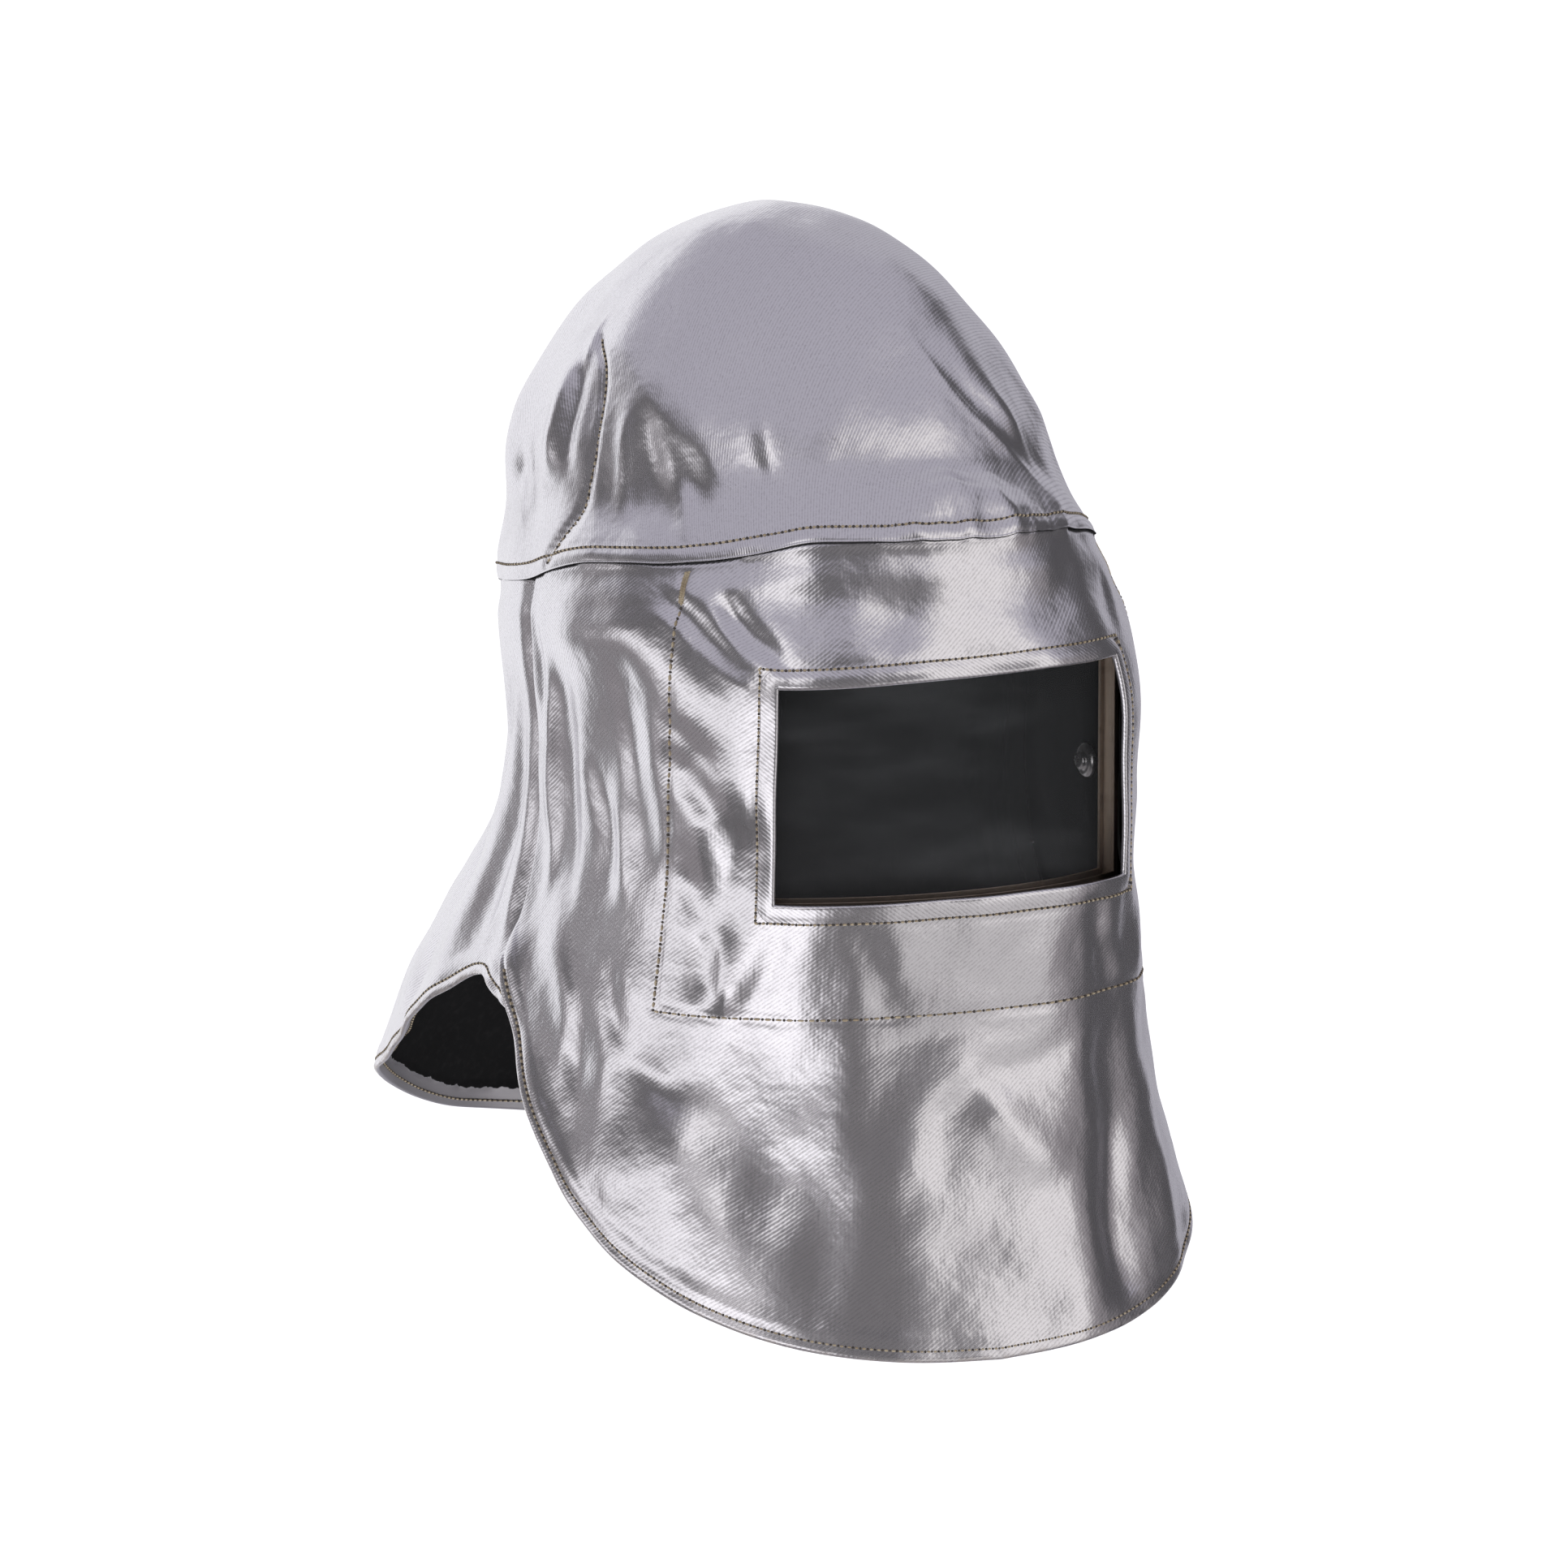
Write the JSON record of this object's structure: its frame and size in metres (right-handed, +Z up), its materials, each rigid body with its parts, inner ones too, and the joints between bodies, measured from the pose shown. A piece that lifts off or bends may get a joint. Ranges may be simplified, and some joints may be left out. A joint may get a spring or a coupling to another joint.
{
  "type": "heat protective hood",
  "caption": "Aluminised cloth hood with a domed crown, a clear curved visor in a framed window, a rounded chest bib and a flared neck cape.",
  "frame": {"origin": "inside top of the crown, where the head sits", "axes": "+Z up, the face looks along -Y, +X to the wearer's left"},
  "size_m": [0.2944, 0.432, 0.467],
  "materials": {
    "aluminised_cloth": "silver aluminised twill, metallic face, black reverse",
    "black_cloth": "matt black cloth",
    "frame_metal": "brown-grey rolled metal",
    "clear_pane": "clear polished visor",
    "stud_metal": "plated press stud"
  },
  "bodies": {
    "root": {"crown": "aluminised_cloth", "face_panel": "aluminised_cloth", "back_cape": "aluminised_cloth", "visor_pocket": "black_cloth", "visor_frame": "frame_metal", "visor_pane": "clear_pane", "press_stud_left": "stud_metal", "press_stud_right": "stud_metal"}
  },
  "joints": []
}
